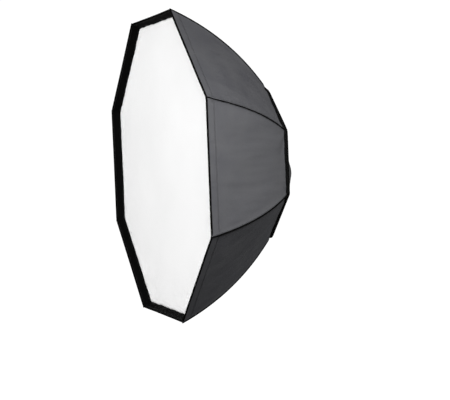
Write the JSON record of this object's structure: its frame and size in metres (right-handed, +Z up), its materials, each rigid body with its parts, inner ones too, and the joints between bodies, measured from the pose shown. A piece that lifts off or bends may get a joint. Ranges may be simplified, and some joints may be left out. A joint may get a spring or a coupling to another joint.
{
  "type": "studio softbox",
  "caption": "Octagonal studio softbox with a bowed-rod fabric shell, recessed front diffuser, inner baffle and rear flaps, turning on a bayonet speed ring.",
  "frame": {"origin": "centre of the bayonet adapter's seat face, where the light's front ring touches it", "axes": "+Y back towards the light that holds the softbox, -Y the way the diffuser faces, +Z up, +X to the side with the first flat panel"},
  "size_m": [0.8314, 0.3771, 0.8314],
  "materials": {
    "adapter_metal": "turned and clear anodised",
    "ring_metal": "satin",
    "screw_steel": "black oxide",
    "knob_plastic": "moulded, fine texture",
    "socket_metal": "black anodised",
    "rod_fibreglass": "smooth pultruded fibreglass",
    "shell_fabric": "coated woven nylon, black outside and silver inside",
    "trim_fabric": "black binding, webbing and hook-and-loop tape",
    "diffuser_fabric": "white translucent woven nylon",
    "strap_elastic": "woven elastic",
    "flap_fabric": "black woven nylon"
  },
  "bodies": {
    "light_mount": {"bayonet_adapter": "adapter_metal", "retaining_ring": "ring_metal", "ring_screw_1": "screw_steel", "ring_screw_2": "screw_steel", "ring_screw_3": "screw_steel"},
    "softbox": {"speed_ring": "ring_metal", "rod_socket_1": "socket_metal", "rod_socket_2": "socket_metal", "rod_socket_3": "socket_metal", "rod_socket_4": "socket_metal", "rod_socket_5": "socket_metal", "rod_socket_6": "socket_metal", "rod_socket_7": "socket_metal", "rod_socket_8": "socket_metal", "rod_1": "rod_fibreglass", "rod_2": "rod_fibreglass", "rod_3": "rod_fibreglass", "rod_4": "rod_fibreglass", "rod_5": "rod_fibreglass", "rod_6": "rod_fibreglass", "rod_7": "rod_fibreglass", "rod_8": "rod_fibreglass", "rod_pocket_1": "trim_fabric", "rod_pocket_2": "trim_fabric", "rod_pocket_3": "trim_fabric", "rod_pocket_4": "trim_fabric", "rod_pocket_5": "trim_fabric", "rod_pocket_6": "trim_fabric", "rod_pocket_7": "trim_fabric", "rod_pocket_8": "trim_fabric", "side_panel_1": "shell_fabric", "side_panel_2": "shell_fabric", "side_panel_3": "shell_fabric", "side_panel_4": "shell_fabric", "side_panel_5": "shell_fabric", "side_panel_6": "shell_fabric", "side_panel_7": "shell_fabric", "side_panel_8": "shell_fabric", "rear_band": "trim_fabric", "front_lip": "trim_fabric", "loop_strip": "trim_fabric", "inner_diffuser": "diffuser_fabric", "baffle_strap_1": "strap_elastic", "baffle_strap_2": "strap_elastic", "baffle_strap_3": "strap_elastic", "baffle_strap_4": "strap_elastic", "baffle_strap_5": "strap_elastic", "baffle_strap_6": "strap_elastic", "baffle_strap_7": "strap_elastic", "baffle_strap_8": "strap_elastic"},
    "lock_knob": {"lock_knob": "knob_plastic"},
    "front_diffuser": {"front_diffuser": "diffuser_fabric"},
    "rear_flap_1": {"rear_flap_1": "flap_fabric"},
    "rear_flap_2": {"rear_flap_2": "flap_fabric"},
    "rear_flap_3": {"rear_flap_3": "flap_fabric"},
    "rear_flap_4": {"rear_flap_4": "flap_fabric"},
    "rear_flap_5": {"rear_flap_5": "flap_fabric"},
    "rear_flap_6": {"rear_flap_6": "flap_fabric"},
    "rear_flap_7": {"rear_flap_7": "flap_fabric"},
    "rear_flap_8": {"rear_flap_8": "flap_fabric"}
  },
  "joints": [
    {"name": "softbox_turn", "type": "hinge", "parent": "light_mount", "child": "softbox", "pos_m": [0, -0.028, 0], "axis": [0, 1, 0], "continuous": true},
    {"name": "lock_knob_turn", "type": "hinge", "parent": "softbox", "child": "lock_knob", "pos_m": [-0.05763, -0.0118, 0.05763], "axis": [-0.7071, 0, 0.7071], "range_deg": [0, 540]},
    {"name": "front_diffuser_off", "type": "slide", "parent": "softbox", "child": "front_diffuser", "axis": [0, -1, 0], "range_m": [0, 0.25]},
    {"name": "rear_flap_1_open", "type": "hinge", "parent": "softbox", "child": "rear_flap_1", "pos_m": [0.2112, -0.0556, 0], "axis": [0, 0, -1], "range_deg": [0, 150]},
    {"name": "rear_flap_2_open", "type": "hinge", "parent": "softbox", "child": "rear_flap_2", "pos_m": [0.14934, -0.0556, 0.14934], "axis": [0.7071, 0, -0.7071], "range_deg": [0, 150]},
    {"name": "rear_flap_3_open", "type": "hinge", "parent": "softbox", "child": "rear_flap_3", "pos_m": [0, -0.0556, 0.2112], "axis": [1, 0, 0], "range_deg": [0, 150]},
    {"name": "rear_flap_4_open", "type": "hinge", "parent": "softbox", "child": "rear_flap_4", "pos_m": [-0.14934, -0.0556, 0.14934], "axis": [0.7071, 0, 0.7071], "range_deg": [0, 150]},
    {"name": "rear_flap_5_open", "type": "hinge", "parent": "softbox", "child": "rear_flap_5", "pos_m": [-0.2112, -0.0556, 0], "axis": [0, 0, 1], "range_deg": [0, 150]},
    {"name": "rear_flap_6_open", "type": "hinge", "parent": "softbox", "child": "rear_flap_6", "pos_m": [-0.14934, -0.0556, -0.14934], "axis": [-0.7071, 0, 0.7071], "range_deg": [0, 150]},
    {"name": "rear_flap_7_open", "type": "hinge", "parent": "softbox", "child": "rear_flap_7", "pos_m": [0, -0.0556, -0.2112], "axis": [-1, 0, 0], "range_deg": [0, 150]},
    {"name": "rear_flap_8_open", "type": "hinge", "parent": "softbox", "child": "rear_flap_8", "pos_m": [0.14934, -0.0556, -0.14934], "axis": [-0.7071, 0, -0.7071], "range_deg": [0, 150]}
  ]
}
